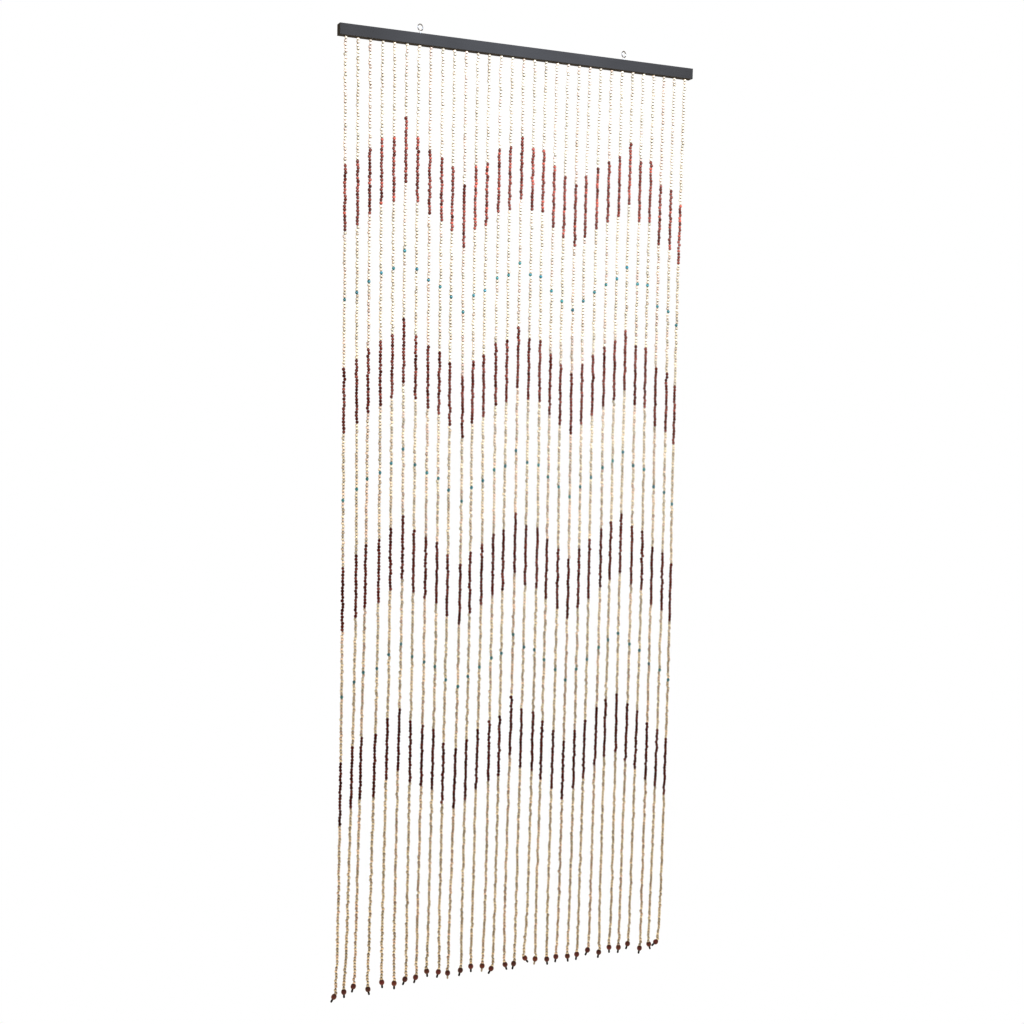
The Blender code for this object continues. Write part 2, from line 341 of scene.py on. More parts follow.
world = bpy.data.worlds.new("white_studio")
bpy.context.scene.world = world
world.use_nodes = True
world.node_tree.nodes.clear()
seen = add(world.node_tree, "ShaderNodeLightPath")
dim = add(world.node_tree, "ShaderNodeBackground", {"Color": srgb(FILL_COLOUR), "Strength": SURROUNDINGS})
bright = add(world.node_tree, "ShaderNodeBackground", {"Color": grey(1.0), "Strength": 1.0})
both = add(world.node_tree, "ShaderNodeMixShader", {0: seen.outputs["Is Camera Ray"], 1: dim, 2: bright})
add(world.node_tree, "ShaderNodeOutputWorld", {"Surface": both})
bpy.context.scene.view_settings.view_transform = "Standard"
bpy.context.scene.view_settings.gamma = CAMERA_GAMMA

floor_mesh = bpy.data.meshes.new("studio_floor")
half = FLOOR_SIZE / 2
floor_z = CAD_BOX[0].z - FLOOR_BELOW_STOPPERS
corners = [(x, y, floor_z) for x, y in ((-half, -half), (half, -half), (half, half), (-half, half))]
floor_mesh.from_pydata(corners, [], [(0, 1, 2, 3)])
floor = bpy.data.objects.new("studio_floor", floor_mesh)
bpy.context.scene.collection.objects.link(floor)

paper = bpy.data.materials.new("white_studio_paper")
paper.use_nodes = True
paper.node_tree.nodes.clear()
seen = add(paper.node_tree, "ShaderNodeLightPath")
glow = add(paper.node_tree, "ShaderNodeEmission", {"Color": srgb(FILL_COLOUR), "Strength": FLOOR_GLOW})
white = add(paper.node_tree, "ShaderNodeEmission", {"Color": grey(1.0), "Strength": 1.0})
both = add(paper.node_tree, "ShaderNodeMixShader", {0: seen.outputs["Is Camera Ray"], 1: glow, 2: white})
add(paper.node_tree, "ShaderNodeOutputMaterial", {"Surface": both})
floor_mesh.materials.append(paper)
print("floor at", round(floor_z * 1000), "mm")

# %% [markdown]
# ## Stained and lacquered wood for the beads
# The beads are turned from a pale close-grained wood, tumbled in stain by the thousand and dipped in clear
# lacquer. So each bead takes the stain a little differently, each string was threaded from another handful,
# and the lacquer gives a small hard glint. Three attributes carry this from the threading below to the
# finish: bead_tone, a number for each bead, string_tone, one for each string, and bead_end, 1 at a bead's
# ends. The ends are made darker, partly for the stain and dust that gather round the bore and partly as
# painted shade where the beads meet. The grain is 1.1 mm wide and drawn out along the string. Thirty-seven
# times bead_tone, without its whole part, serves as a second draw, for how deep the stain went in.

# %% Finishes of the beads
GRAIN_WIDTH = 0.0011
GRAIN_STRETCH = 0.12
GRAIN_RELIEF = 0.00006
SECOND_DRAW = 37.0


def stained_wood(name, shades, string_share, deepest, gloss, shine, lacquer, end_stain_and_shade):
    """A stained bead finish. shades run from one end of the handful's colours to the other, and string_share
    says how much of a bead's shade its string decides. deepest is how dark the deepest stain makes a shade.
    gloss is the lowest roughness, shine the specular level and lacquer the weight of the clear coat. The
    last argument is how dark the ends round the bores are made: partly stain gathered there, partly painted
    shade where the beads meet."""
    made = bpy.data.materials.new(name)
    made.use_nodes = True
    tree = made.node_tree
    shader = tree.nodes["Principled BSDF"]
    bead = add(tree, "ShaderNodeAttribute", attribute_name="bead_tone").outputs["Fac"]
    string = add(tree, "ShaderNodeAttribute", attribute_name="string_tone").outputs["Fac"]
    rim = add(tree, "ShaderNodeAttribute", attribute_name="bead_end").outputs["Fac"]

    # The shade of the stain, how deep it went in, and the darker ends: partly stain round the bore, partly
    # painted shade where the beads meet
    handful = add(tree, "ShaderNodeMix", {0: string_share, 2: bead, 3: string}, data_type="FLOAT")
    stops = [(k / (len(shades) - 1), srgb(code)) for k, code in enumerate(shades)]
    # A new ramp already has its two end stops, so these are set first
    ends_first = [stops[0], stops[-1], *stops[1:-1]]
    stain = add(tree, "ShaderNodeValToRGB", {"Fac": handful}, stops=ends_first)
    shuffled = add(tree, "ShaderNodeMath", {0: bead, 1: SECOND_DRAW}, operation="MULTIPLY")
    drawn = add(tree, "ShaderNodeMath", {0: shuffled}, operation="FRACT")
    depth = add(tree, "ShaderNodeValToRGB", {"Fac": drawn}, stops=[(0.0, grey(deepest)), (1.0, grey(1.1))])
    ends = add(tree, "ShaderNodeValToRGB", {"Fac": rim}, stops=[(0.40, grey(1.0)), (1.0, grey(end_stain_and_shade))])

    # The grain, drawn out along the string
    place = add(tree, "ShaderNodeTexCoord")
    drawn_out = {"Vector": place.outputs["Object"], "Scale": (1, 1, GRAIN_STRETCH)}
    along = add(tree, "ShaderNodeMapping", drawn_out)
    grain = add(tree, "ShaderNodeTexNoise", {"Vector": along, "Scale": 1 / GRAIN_WIDTH, "Detail": 3.0})
    greys = [(0.32, grey(0.72)), (0.66, grey(1.06))]
    streaks = add(tree, "ShaderNodeValToRGB", {"Fac": grain}, stops=greys)

    # All four multiplied
    colour = stain
    for layer in (streaks, depth, ends):
        both = {0: 1.0, 6: colour, 7: layer}
        colour = add(tree, "ShaderNodeMix", both, data_type="RGBA", blend_type="MULTIPLY").outputs[2]
    tree.links.new(colour, shader.inputs["Base Color"])

    # A duller sheen and a slight ridge where the grain is open
    sheen = add(tree, "ShaderNodeMapRange", {"Value": grain, "To Min": gloss, "To Max": gloss + 0.15})
    tree.links.new(sheen.outputs["Result"], shader.inputs["Roughness"])
    ridges = add(tree, "ShaderNodeBump", {"Strength": 0.35, "Distance": GRAIN_RELIEF, "Height": grain})
    tree.links.new(ridges.outputs["Normal"], shader.inputs["Normal"])
    shader.inputs["IOR"].default_value = 1.5
    shader.inputs["Specular IOR Level"].default_value = shine
    shader.inputs["Coat Weight"].default_value = lacquer
    shader.inputs["Coat Roughness"].default_value = 0.12
    return made


# In each finish the ends are made darker, partly for stain and partly as painted shade where a bead meets
# its neighbours
CREAM = stained_wood(
    "clear_lacquered_limewood",
    ("#f2eadb", "#ebdec8", "#e6e3cf", "#f0e8d6", "#efdbcf", "#dacab2"),
    string_share=0.5,
    deepest=0.52,
    gloss=0.35,
    shine=0.5,
    lacquer=0.3,
    end_stain_and_shade=0.24,
)
DARK = stained_wood(
    "red_brown_stained_limewood",
    ("#bc6859", "#955c54", "#7e4941", "#67281c", "#5c150b", "#4f0d06"),
    string_share=0.1,
    deepest=0.48,
    gloss=0.25,
    shine=0.05,
    lacquer=0.1,
    end_stain_and_shade=0.45,
)
TURQUOISE = stained_wood(
    "turquoise_dyed_limewood",
    ("#3e909e", "#368292", "#448e90", "#2e7288"),
    string_share=0.5,
    deepest=0.7,
    gloss=0.25,
    shine=0.4,
    lacquer=0.2,
    end_stain_and_shade=0.30,
)
MAROON = stained_wood(
    "maroon_lacquered_beech",
    ("#54131a", "#681a1e", "#460f12", "#76301a"),
    string_share=1.0,
    deepest=0.8,
    gloss=0.28,
    shine=0.3,
    lacquer=0.6,
    end_stain_and_shade=0.35,
)
print("bead finishes:", [m.name for m in (CREAM, DARK, TURQUOISE, MAROON)])

# %% [markdown]
# ## Threading the beads
# Nine thousand beads can't be placed by hand, and they follow a rule, so Geometry Nodes thread them. The
# next eight cells build the tree. It turns a route into a curve, makes one point for each bead, moves point
# number i to its length along the curve, keeps the points whose stain is wanted, and puts a bead on each.
# Every size is a named input, so that one tree serves all strings and stains.

# %% An empty tree with named inputs
STAINS = {"cream": 0, "dark": 1, "turquoise": 2}
BEAD_INPUTS = {
    "Bead Width": "NodeSocketFloat",
    "Bead Length": "NodeSocketFloat",
    "Pitch": "NodeSocketFloat",
    "Start": "NodeSocketFloat",
    "Count": "NodeSocketInt",
    "Creams On Top": "NodeSocketInt",
    "Band Beads": "NodeSocketInt",
    "Gap Beads": "NodeSocketInt",
    "Bands": "NodeSocketInt",
    "Stain": "NodeSocketInt",
    "Lean": "NodeSocketFloat",
    "Slide": "NodeSocketFloat",
    "Wobble": "NodeSocketFloat",
    "Wander": "NodeSocketFloat",
    "Wander Beads": "NodeSocketFloat",
    "Size Spread": "NodeSocketFloat",
    "Deepening": "NodeSocketFloat",
    "String Tone": "NodeSocketFloat",
    "Map Cells": "NodeSocketInt",
    "Seed": "NodeSocketInt",
    "Finish": "NodeSocketMaterial",
}
THREADING = bpy.data.node_groups.new("thread the beads", "GeometryNodeTree")
THREADING.interface.new_socket("Geometry", in_out="INPUT", socket_type="NodeSocketGeometry")
for name, kind in BEAD_INPUTS.items():
    THREADING.interface.new_socket(name, in_out="INPUT", socket_type=kind)
THREADING.interface.new_socket("Geometry", in_out="OUTPUT", socket_type="NodeSocketGeometry")
given = add(THREADING, "NodeGroupInput").outputs
MATH = "ShaderNodeMath"
STORE = "GeometryNodeStoreNamedAttribute"
print("the tree has", len(BEAD_INPUTS), "named inputs")

# %% [markdown]
# ## Chance
# No two beads are alike, and no bead sits quite straight. A Random Value node gives each bead a number of
# its own between two limits. A node's seed is the string's seed plus the node's place in the list, so every
# run gives the same beads.

# %% Random values for each bead
CHANCES = {
    "slide": (-1.0, 1.0),
    "lean": (0.2, 1.0),
    "turn": (0.0, 2 * math.pi),
    "width": (-1.0, 1.0),
    "length": (-1.0, 1.0),
    "tone": (0.0, 1.0),
    "right": (-1.0, 1.0),
    "back": (-1.0, 1.0),
}
chance = {}
for k, (name, (low, high)) in enumerate(CHANCES.items()):
    seed = add(THREADING, MATH, {0: given["Seed"], 1: k}, operation="ADD")
    draw = add(THREADING, "FunctionNodeRandomValue", {2: low, 3: high, "Seed": seed}, data_type="FLOAT")
    chance[name] = draw.outputs[1]
print("each bead draws", len(chance), "numbers")

# %% [markdown]
# ## One bead
# A small bead is turned to an oval and cut flat at both ends, where the bore comes out. It starts as a
# nine-sided cylinder with four bands, 1 wide and 1 long. Its inner rings move outwards, and all are drawn
# in to an oval that would close just beyond them. That is 38 faces, enough for something repeated so often,
# and the bore stays closed, because the next bead hides it. bead_end is 1 at the ends and 0 in the middle.

# %% One bead, 1 wide and 1 long
BEAD_SIDES = 9
BEAD_BANDS = 4
FACES_PER_BEAD = BEAD_SIDES * BEAD_BANDS + 2
RING_SPREAD = 1.35
SPREAD_FALLOFF = -1.4
OVAL_CLOSES_AT = 0.55

cylinder = add(
    THREADING,
    "GeometryNodeMeshCylinder",
    {"Vertices": BEAD_SIDES, "Side Segments": BEAD_BANDS, "Radius": 0.5, "Depth": 1.0},
    fill_type="NGON",
)
spot = add(THREADING, "GeometryNodeInputPosition")
corner = add(THREADING, "ShaderNodeSeparateXYZ", {0: spot}).outputs
squared = add(THREADING, MATH, {0: corner["Z"], 1: corner["Z"]}, operation="MULTIPLY")
spread = add(THREADING, MATH, {0: squared, 1: SPREAD_FALLOFF, 2: RING_SPREAD}, operation="MULTIPLY_ADD")
ring = add(THREADING, MATH, {0: corner["Z"], 1: spread}, operation="MULTIPLY")
share = add(THREADING, MATH, {0: ring, 1: OVAL_CLOSES_AT}, operation="DIVIDE")
share_squared = add(THREADING, MATH, {0: share, 1: share}, operation="MULTIPLY")
oval_squared = add(THREADING, MATH, {0: 1.0, 1: share_squared}, operation="SUBTRACT")
oval = add(THREADING, MATH, {0: oval_squared}, operation="SQRT")
shaped = {"Z": ring}
for axis in "XY":
    shaped[axis] = add(THREADING, MATH, {0: corner[axis], 1: oval}, operation="MULTIPLY")
shaped_spot = add(THREADING, "ShaderNodeCombineXYZ", shaped)
bead = add(THREADING, "GeometryNodeSetPosition", {"Geometry": cylinder, "Position": shaped_spot})
from_middle = add(THREADING, MATH, {0: ring}, operation="ABSOLUTE")
nearness = add(THREADING, MATH, {0: from_middle, 1: 2.0}, operation="MULTIPLY")
marked = {"Geometry": bead, "Name": "bead_end", "Value": nearness}
bead = add(THREADING, STORE, marked, data_type="FLOAT", domain="POINT")
mapped = {"Geometry": bead, "Name": "bead_uv", "Value": cylinder.outputs["UV Map"]}
bead = add(THREADING, STORE, mapped, data_type="FLOAT_VECTOR", domain="CORNER")
smooth = {"Geometry": bead, "Selection": cylinder.outputs["Side"], "Shade Smooth": True}
bead = add(THREADING, "GeometryNodeSetShadeSmooth", smooth, domain="FACE")
print("a bead has", FACES_PER_BEAD, "faces")

# %% [markdown]
# ## The colour rule
# After the cream beads on top come 20 dark beads, 20 cream, 1 turquoise and 20 cream, three times over,
# then 20 dark, and cream beads down to the end bead. The rule works on the bead's number: what is left
# after whole turns of the pattern is its place in the turn.

# %% Stain of bead number i
BAND_BEADS = 20
GAP_BEADS = 20
BANDS = 4

i = add(THREADING, "GeometryNodeInputIndex")
j = add(THREADING, MATH, {0: i, 1: given["Creams On Top"]}, operation="SUBTRACT")
both_gaps = add(THREADING, MATH, {0: given["Gap Beads"], 1: 2.0, 2: 1.0}, operation="MULTIPLY_ADD")
period = add(THREADING, MATH, {0: both_gaps, 1: given["Band Beads"]}, operation="ADD")
turns = add(THREADING, MATH, {0: j, 1: period}, operation="DIVIDE")
turn = add(THREADING, MATH, {0: turns}, operation="FLOOR")
turn_starts = add(THREADING, MATH, {0: turn, 1: period}, operation="MULTIPLY")
in_turn = add(THREADING, MATH, {0: j, 1: turn_starts}, operation="SUBTRACT")
below_top = add(THREADING, MATH, {0: j, 1: -0.5}, operation="GREATER_THAN")
in_band = add(THREADING, MATH, {0: in_turn, 1: given["Band Beads"]}, operation="LESS_THAN")
has_band = add(THREADING, MATH, {0: turn, 1: given["Bands"]}, operation="LESS_THAN")
banded = add(THREADING, MATH, {0: in_band, 1: has_band}, operation="MULTIPLY")
dark = add(THREADING, MATH, {0: below_top, 1: banded}, operation="MULTIPLY")
gap_middle = add(THREADING, MATH, {0: given["Band Beads"], 1: given["Gap Beads"]}, operation="ADD")
at_middle = add(THREADING, MATH, {0: in_turn, 1: gap_middle, 2: 0.5}, operation="COMPARE")
next_turn = add(THREADING, MATH, {0: turn, 1: 1.0}, operation="ADD")
has_gap = add(THREADING, MATH, {0: next_turn, 1: given["Bands"]}, operation="LESS_THAN")
single = add(THREADING, MATH, {0: at_middle, 1: has_gap}, operation="MULTIPLY")
turquoise = add(THREADING, MATH, {0: below_top, 1: single}, operation="MULTIPLY")
stain = add(THREADING, MATH, {0: turquoise, 1: STAINS["turquoise"], 2: dark}, operation="MULTIPLY_ADD")
print("the pattern repeats every", 2 * GAP_BEADS + 1 + BAND_BEADS, "beads")

# %% [markdown]
# ## Tone
# A bead's tone is drawn by chance, and picks its shade from the handful. In the photograph the lower dark
# bands are darker, so there the draw is mixed with how low the band is, 0 for the highest and 1 for the
# lowest.

# %% Tone of bead number i
last_band = add(THREADING, MATH, {0: given["Bands"], 1: 1.0}, operation="SUBTRACT")
lower = add(THREADING, MATH, {0: turn, 1: last_band}, operation="DIVIDE")
deepening = add(THREADING, MATH, {0: given["Deepening"], 1: dark}, operation="MULTIPLY")
darker = add(THREADING, MATH, {0: lower, 1: chance["tone"]}, operation="SUBTRACT")
tone = add(THREADING, MATH, {0: darker, 1: deepening, 2: chance["tone"]}, operation="MULTIPLY_ADD")
print("the tree has", len(THREADING.nodes), "nodes so far")

# %% [markdown]
# ## A point for each bead
# Sample Curve finds a bead's place by its length along the line. A bead with a wide bore hangs up to a
# millimetre beside the line, and the line itself wanders a little, because the beads are pushed together:
# smooth noise bends it over every few beads. Only the points of the wanted stain go on to the next step.

# %% Points on the line
# Smooth noise stays between about 0.25 and 0.75, and this stretches it to run from -1 to 1
NOISE_TO_UNIT = (4.0, -2.0)

line = add(THREADING, "GeometryNodeMeshToCurve", {"Mesh": given["Geometry"]})
points = add(THREADING, "GeometryNodePoints", {"Count": given["Count"]})
bead_middle = add(THREADING, MATH, {0: i, 1: 0.5}, operation="ADD")
spaced = {0: bead_middle, 1: given["Pitch"], 2: given["Start"]}
even = add(THREADING, MATH, spaced, operation="MULTIPLY_ADD")
shift = add(THREADING, MATH, {0: chance["slide"], 1: given["Slide"]}, operation="MULTIPLY")
down_line = add(THREADING, MATH, {0: even, 1: shift}, operation="ADD")
on_line = {"Curves": line, "Length": down_line}
sample = add(THREADING, "GeometryNodeSampleCurve", on_line, mode="LENGTH", use_all_curves=True)

bead_steps = add(THREADING, MATH, {0: i, 1: given["Wander Beads"]}, operation="DIVIDE")
noise_spot = add(THREADING, "ShaderNodeCombineXYZ", {0: bead_steps, 1: given["Seed"]})
noise = add(THREADING, "ShaderNodeTexNoise", {"Vector": noise_spot, "Scale": 1.0, "Detail": 1.0})
bends = add(THREADING, "ShaderNodeSeparateXYZ", {0: noise.outputs["Color"]}).outputs
sideways = {}
for axis, way in (("X", "right"), ("Y", "back")):
    centred = {0: bends[axis], 1: NOISE_TO_UNIT[0], 2: NOISE_TO_UNIT[1]}
    bend = add(THREADING, MATH, centred, operation="MULTIPLY_ADD")
    wander = add(THREADING, MATH, {0: bend, 1: given["Wander"]}, operation="MULTIPLY")
    beside = {0: chance[way], 1: given["Wobble"], 2: wander}
    sideways[axis] = add(THREADING, MATH, beside, operation="MULTIPLY_ADD")
off_line = add(THREADING, "ShaderNodeCombineXYZ", sideways)
moved = {"Geometry": points, "Position": sample.outputs["Position"], "Offset": off_line}
points = add(THREADING, "GeometryNodeSetPosition", moved)

for name, value, data_type in (
    ("line_way", sample.outputs["Tangent"], "FLOAT_VECTOR"),
    ("bead_tone", tone, "FLOAT"),
    ("string_tone", given["String Tone"], "FLOAT"),
):
    kept = {"Geometry": points, "Name": name, "Value": value}
    points = add(THREADING, STORE, kept, data_type=data_type, domain="POINT")
wanted = add(THREADING, MATH, {0: stain, 1: given["Stain"], 2: 0.5}, operation="COMPARE")
chosen = {"Geometry": points, "Selection": wanted}
points = add(THREADING, "GeometryNodeSeparateGeometry", chosen, domain="POINT")
print("points carry the line's direction and two tones")

# %% [markdown]
# ## A bead on each point
# A loose bead tilts on its line, and turned beads differ a little in size. Instance on Points copies the
# one bead to every point, turned, tilted and scaled, and Realize Instances makes the copies real faces.

# %% Beads on the points
NAMED = "GeometryNodeInputNamedAttribute"

way_of_line = add(THREADING, NAMED, {"Name": "line_way"}, data_type="FLOAT_VECTOR")
upright = add(THREADING, "FunctionNodeAlignRotationToVector", {"Vector": way_of_line}, axis="Z")
leaning = add(THREADING, MATH, {0: chance["lean"], 1: given["Lean"]}, operation="MULTIPLY")
tilt = add(THREADING, "ShaderNodeCombineXYZ", {0: leaning, 2: chance["turn"]})
tilting = {"Rotation": upright, "Rotate By": tilt}
tilted = add(THREADING, "FunctionNodeRotateRotation", tilting, rotation_space="LOCAL")
half_spread = add(THREADING, MATH, {0: given["Size Spread"], 1: 0.5}, operation="MULTIPLY")
widening = {0: chance["width"], 1: given["Size Spread"], 2: 1.0}
wider = add(THREADING, MATH, widening, operation="MULTIPLY_ADD")
longer = add(THREADING, MATH, {0: chance["length"], 1: half_spread, 2: 1.0}, operation="MULTIPLY_ADD")
width = add(THREADING, MATH, {0: given["Bead Width"], 1: wider}, operation="MULTIPLY")
length = add(THREADING, MATH, {0: given["Bead Length"], 1: longer}, operation="MULTIPLY")
size = add(THREADING, "ShaderNodeCombineXYZ", {"X": width, "Y": width, "Z": length})

row = add(THREADING, MATH, {0: i, 1: given["Map Cells"]}, operation="DIVIDE")
row = add(THREADING, MATH, {0: row}, operation="FLOOR")
row_starts = add(THREADING, MATH, {0: row, 1: given["Map Cells"]}, operation="MULTIPLY")
column = add(THREADING, MATH, {0: i, 1: row_starts}, operation="SUBTRACT")
cell = add(THREADING, "ShaderNodeCombineXYZ", {"X": column, "Y": row})
celled = {"Geometry": points, "Name": "bead_cell", "Value": cell}
points = add(THREADING, STORE, celled, data_type="FLOAT_VECTOR", domain="POINT")
copied = {"Points": points, "Instance": bead, "Rotation": tilted, "Scale": size}
instances = add(THREADING, "GeometryNodeInstanceOnPoints", copied)
real = add(THREADING, "GeometryNodeRealizeInstances", {"Geometry": instances})
print("beads lean, turn and differ in size")

# %% [markdown]
# ## A place for each bead on the colour map
# Each bead gets a cell of its own on the colour map. The bead's own map is shrunk to nine tenths of a cell,
# which leaves a border, and moved to the cell.

# %% Cells of the colour map, and the end of the tree
CELL_FILLED = (0.9, 0.9, 0.0)
CELL_BORDER = (0.05, 0.05, 0.0)
VECTOR_MATH = "ShaderNodeVectorMath"

own_map = add(THREADING, NAMED, {"Name": "bead_uv"}, data_type="FLOAT_VECTOR")
own_cell = add(THREADING, NAMED, {"Name": "bead_cell"}, data_type="FLOAT_VECTOR")
bordered = {0: own_map, 1: CELL_FILLED, 2: CELL_BORDER}
inner = add(THREADING, VECTOR_MATH, bordered, operation="MULTIPLY_ADD")
in_cell = add(THREADING, VECTOR_MATH, {0: inner, 1: own_cell}, operation="ADD")
cell_width = add(THREADING, MATH, {0: 1.0, 1: given["Map Cells"]}, operation="DIVIDE")
on_map = add(THREADING, VECTOR_MATH, {0: in_cell, "Scale": cell_width}, operation="SCALE")
real = add(
    THREADING,
    STORE,
    {"Geometry": real, "Name": "OFBake", "Value": on_map},
    data_type="FLOAT2",
    domain="CORNER",
)
for name in ("line_way", "bead_cell", "bead_uv"):
    real = add(THREADING, "GeometryNodeRemoveAttribute", {"Geometry": real, "Name": name})
finished = add(THREADING, "GeometryNodeSetMaterial", {"Geometry": real, "Material": given["Finish"]})
add(THREADING, "NodeGroupOutput", {"Geometry": finished})
print("the tree has", len(THREADING.nodes), "nodes")

# %% [markdown]
# ## Running the tree
# The tree runs once for each string and stain, on a mesh that holds only the route. new_from_object keeps
# the result as a plain mesh, so no modifier is left. Cream, dark and turquoise beads stay separate pieces,
# because each colour is a finish of its own. As on the real string, the first bead sits a little way up the
# countersink, and the last one in the mouth of the end bead.

# %% Thread every string
COUNTERSINK_SEAT = 0.0012
MOUTH_SEAT = 0.0012
BEAD_LEAN = math.radians(10)
BEAD_SLIDE = 0.0002
BEAD_WOBBLE = 0.0010
LINE_WANDER = 0.0007
WANDER_BEADS = 2.4
SIZE_SPREAD = 0.09
BAND_DEEPENING = 0.45
SEED_STEP = 100
TONE_STEP = 0.618
FINISHES = {"cream": CREAM, "dark": DARK, "turquoise": TURQUOISE}
# Cells along each side of the colour map, enough for a string's beads of that stain
MAP_CELLS = {"cream": 15, "dark": 9, "turquoise": 2}


def string_tone(number):
    """A number from 0 to 1 for a string's handful of beads, well away from those of its neighbours."""
    return number * TONE_STEP % 1.0


def plain_mesh(obj, name):
    """The evaluated object as a plain mesh object at the origin. The first object is removed."""
    bpy.context.view_layer.update()
    graph = bpy.context.evaluated_depsgraph_get()
    shown = obj.evaluated_get(graph)
    mesh = bpy.data.meshes.new_from_object(shown, preserve_all_data_layers=True, depsgraph=graph)
    bpy.data.objects.remove(obj, do_unlink=True)
    mesh.name = name
    made = bpy.data.objects.new(name, mesh)
    bpy.context.scene.collection.objects.link(made)
    return made


def thread(number, stain):
    """The beads of one stain on one string."""
    route = ROUTES[number]
    row = STRING_ROWS[number - 1]
    above_rail = (route[0] - route[2]).length
    room = length_of(route[2 : HANG_STEPS + 3]) + COUNTERSINK_SEAT + MOUTH_SEAT
    name = f"string_{number:02d}_{stain}_beads"
    mesh = bpy.data.meshes.new(name + "_route")
    mesh.from_pydata(route, [(k, k + 1) for k in range(len(route) - 1)], [])
    host = bpy.data.objects.new(name + "_route", mesh)
    bpy.context.scene.collection.objects.link(host)
    modifier = host.modifiers.new("thread", "NODES")
    modifier.node_group = THREADING
    values = {
        "Bead Width": BEAD_WIDTHS[stain],
        "Bead Length": BEAD_LENGTH,
        "Pitch": room / row["beads"],
        "Start": above_rail - COUNTERSINK_SEAT,
        "Count": row["beads"],
        "Creams On Top": row["creams_on_top"],
        "Band Beads": BAND_BEADS,
        "Gap Beads": GAP_BEADS,
        "Bands": BANDS,
        "Stain": STAINS[stain],
        "Lean": BEAD_LEAN,
        "Slide": BEAD_SLIDE,
        "Wobble": BEAD_WOBBLE,
        "Wander": LINE_WANDER,
        "Wander Beads": WANDER_BEADS,
        "Size Spread": SIZE_SPREAD,
        "Deepening": BAND_DEEPENING,
        "String Tone": string_tone(number),
        "Map Cells": MAP_CELLS[stain],
        "Seed": SEED_STEP * number,
        "Finish": FINISHES[stain],
    }
    for item in THREADING.interface.items_tree:
        if item.in_out == "INPUT" and item.name in values:
            modifier[item.identifier] = values[item.name]
    return plain_mesh(host, name)


BEADS = {number: {stain: thread(number, stain) for stain in STAINS} for number in NUMBERS}
bead_faces = sum(len(obj.data.polygons) for beads in BEADS.values() for obj in beads.values())
print("threaded", bead_faces // FACES_PER_BEAD, "beads")

# %% [markdown]
# ## Turned shapes
# End beads and stoppers are round about their own axis, so one function turns both from a half outline: a
# list of radius and distance down the axis. The outline runs down the outside and back up through the bore,
# and closes on itself, so the shape is solid with a real hole.


# %% Turn a shape about a leaning axis
def turned(name, outline, sides, top, down):
    """A closed turned shape. outline holds (radius, distance below top) pairs, in metres."""
    side = Vector((0, 1, 0))
    front = down.cross(side)
    verts, faces = [], []
    for radius, depth in outline:
        for k in range(sides):
            angle = 2 * math.pi * k / sides
            verts.append(top + down * depth + (side * math.cos(angle) + front * math.sin(angle)) * radius)
    rings = len(outline)
    for ring in range(rings):
        below = (ring + 1) % rings
        for k in range(sides):
            after = (k + 1) % sides
            faces.append((ring * sides + k, ring * sides + after, below * sides + after, below * sides + k))
    mesh = bpy.data.meshes.new(name)
    mesh.from_pydata(verts, [], faces)
    mesh.shade_smooth()
    obj = bpy.data.objects.new(name, mesh)
    bpy.context.scene.collection.objects.link(obj)
    return obj


# %% [markdown]
# ## End beads
# The end bead is a larger oval in dark lacquer, with a funnel at each end of its bore from the boring tool.
# The last small bead sits in the upper funnel. Each end bead has one tone of its own, drawn apart from
# those of its string.

# %% End beads
BORE = 0.0011
FUNNEL = 0.0024
FUNNEL_DEPTH = 0.0016
FUNNEL_LIP = 0.0003
LIP_SHARE = 0.86
OVAL_STEPS = 10
END_BEAD_SIDES = 24
END_TONE_OFFSET = 0.37
END_TONE_STEP = 3


def end_bead_outline():
    """Down the outside of an end bead, and back up through its lower funnel, bore and upper funnel."""
    half = END_BEAD_LENGTH / 2
    rim = math.asin(FUNNEL / (END_BEAD_WIDTH / 2))
    outside = []
    for k in range(OVAL_STEPS + 1):
        angle = rim + (math.pi - 2 * rim) * k / OVAL_STEPS
        depth = half - half * math.cos(angle) / math.cos(rim)
        outside.append((END_BEAD_WIDTH / 2 * math.sin(angle), depth))
    lip = FUNNEL * LIP_SHARE
    lower = [(lip, END_BEAD_LENGTH - FUNNEL_LIP), (BORE, END_BEAD_LENGTH - FUNNEL_DEPTH)]
    upper = [(BORE, FUNNEL_DEPTH), (lip, FUNNEL_LIP)]
    return outside + lower + upper


def set_tones(obj, number, centre, down):
    """Stores the string's tone and how near each point is to the bead's ends, for the wood finish."""
    mesh = obj.data
    handful = string_tone(number + END_TONE_OFFSET)
    own = string_tone(number * END_TONE_STEP)
    for name, value in (("string_tone", handful), ("bead_tone", own)):
        layer = mesh.attributes.new(name, "FLOAT", "POINT")
        layer.data.foreach_set("value", [value] * len(mesh.vertices))
    ends = mesh.attributes.new("bead_end", "FLOAT", "POINT")
    nearness = [abs((v.co - centre).dot(down)) / (END_BEAD_LENGTH / 2) for v in mesh.vertices]
    ends.data.foreach_set("value", nearness)


END_BEADS = {}
for number in NUMBERS:
    centre, down = end_bead(number)
    top = centre - down * END_BEAD_LENGTH / 2
    obj = turned(f"string_{number:02d}_end_bead", end_bead_outline(), END_BEAD_SIDES, top, down)
    set_tones(obj, number, centre, down)
    obj.data.materials.append(MAROON)
    END_BEADS[number] = obj
print("turned", len(END_BEADS), "end beads of", len(END_BEADS[1].data.polygons), "faces")

# %% [markdown]
# ## Stoppers
# A short length of black plastic tube is pushed on the line and pinched, and it carries the whole string. A
# few are of clear tube. The plastic is drawn and cut, not moulded: it has a soft sheen, faint draw lines
# 0.7 mm wide, which is coarser than real ones so that they show, and blunt ends.

# %% Stopper finishes and stoppers
DRAW_LINE_WIDTH = 1 / 1400
DRAW_LINE_STRETCH = 0.2


